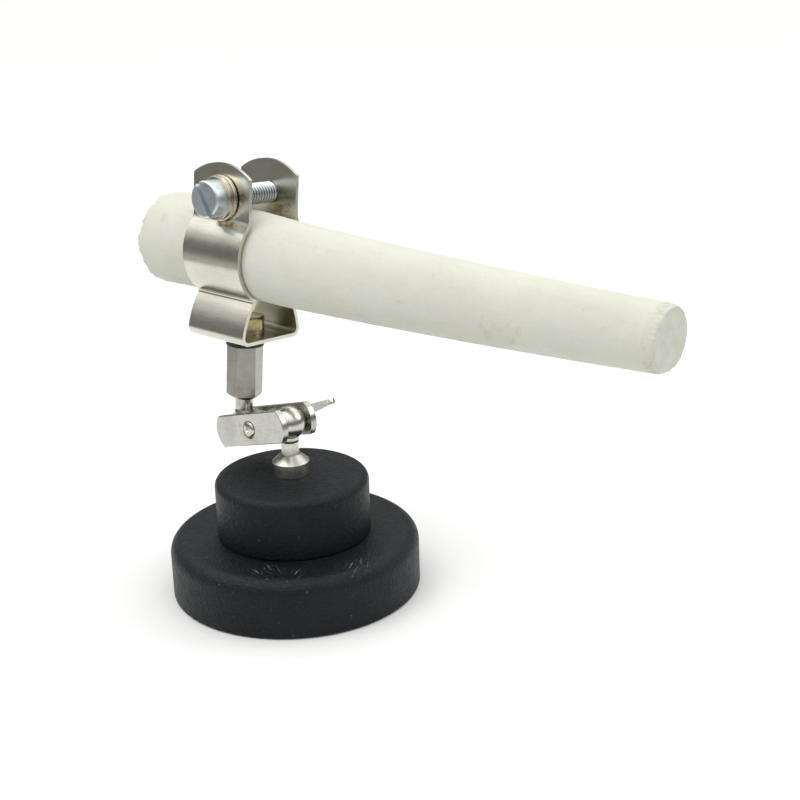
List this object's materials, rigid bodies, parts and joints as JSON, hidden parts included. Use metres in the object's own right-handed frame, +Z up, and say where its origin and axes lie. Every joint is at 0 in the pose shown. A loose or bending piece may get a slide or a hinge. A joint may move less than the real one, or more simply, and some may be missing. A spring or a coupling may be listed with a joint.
{
  "type": "rod holder on a weighted foot",
  "caption": "Weighted round foot with a double ball joint, a hex standoff and a strap clip that grips a tapered off-white rod.",
  "frame": {"origin": "centre of the rest face, on the foot's axis", "axes": "+Z up; the rod's thin end points to +X and -Y, and the clamp screw's head faces -Y"},
  "size_m": [0.138, 0.119, 0.1187],
  "materials": {
    "foot_coat": "matt black fine-textured powder coat on steel",
    "pad_rubber": "matt black rubber",
    "plain_steel": "plain zinc-plated steel",
    "polished_steel": "polished steel",
    "warm_nickel": "satin nickel plate with a warm tone and brownish specks",
    "standoff_steel": "satin drawn steel",
    "black_washer": "blackened steel",
    "clip_nickel": "satin nickel-plated strip, tan stains and small pits",
    "yellow_chromate": "iridescent yellow chromate on zinc",
    "tan_zinc": "zinc plate with a tan cast",
    "blue_zinc": "bright zinc plate with a blue cast",
    "rod_ceramic": "matt off-white fired ceramic with fine specks and chipped ends"
  },
  "bodies": {
    "base": {"lower_disc": "foot_coat", "upper_disc": "foot_coat", "base_pad": "pad_rubber"},
    "lower_stud": {"lower_ball_stud": "polished_steel", "stud_collar": "polished_steel", "base_nut": "plain_steel", "base_washer": "plain_steel"},
    "plates": {"front_plate": "warm_nickel", "rear_plate": "warm_nickel"},
    "wing": {"wing_screw": "warm_nickel"},
    "upper_stud": {"upper_ball_stud": "polished_steel", "hex_standoff": "standoff_steel", "standoff_washer": "black_washer"},
    "clip": {"pipe_clip": "clip_nickel", "clip_bolt": "yellow_chromate", "clip_bolt_washer": "yellow_chromate", "clip_nut": "blue_zinc", "clip_flat_washer": "tan_zinc", "clip_spring_washer": "tan_zinc"},
    "screw": {"clip_screw": "blue_zinc"},
    "rod": {"rod": "rod_ceramic"}
  },
  "joints": [
    {"name": "base_swivel", "type": "hinge", "parent": "base", "child": "lower_stud", "pos_m": [0, 0, 0.0333], "axis": [0, 0, 1], "continuous": true},
    {"name": "arm_tilt", "type": "hinge", "parent": "lower_stud", "child": "plates", "pos_m": [0, 0, 0.0483], "axis": [0.6962, 0.7171, -0.0335], "range_deg": [-2, 25]},
    {"name": "wing_turn", "type": "hinge", "parent": "plates", "child": "wing", "pos_m": [-0.00696, 0.00663, 0.04554], "axis": [0.6962, 0.7171, -0.0335], "continuous": true},
    {"name": "stud_tilt", "type": "hinge", "parent": "plates", "child": "upper_stud", "pos_m": [-0.01392, 0.01326, 0.04279], "axis": [-0.6962, -0.7171, 0.0335], "range_deg": [-18, 50]},
    {"name": "clip_swivel", "type": "hinge", "parent": "upper_stud", "child": "clip", "pos_m": [-0.01392, 0.01326, 0.04279], "axis": [0.0745, 0.0493, 0.996], "continuous": true},
    {"name": "screw_turn", "type": "hinge", "parent": "clip", "child": "screw", "pos_m": [-0.00899, 0.01652, 0.10872], "axis": [0.632, 0.7702, -0.0854], "continuous": true},
    {"name": "rod_slide", "type": "slide", "parent": "clip", "child": "rod", "axis": [0.7714, -0.6359, -0.0262], "range_m": [-0.1, 0]}
  ]
}
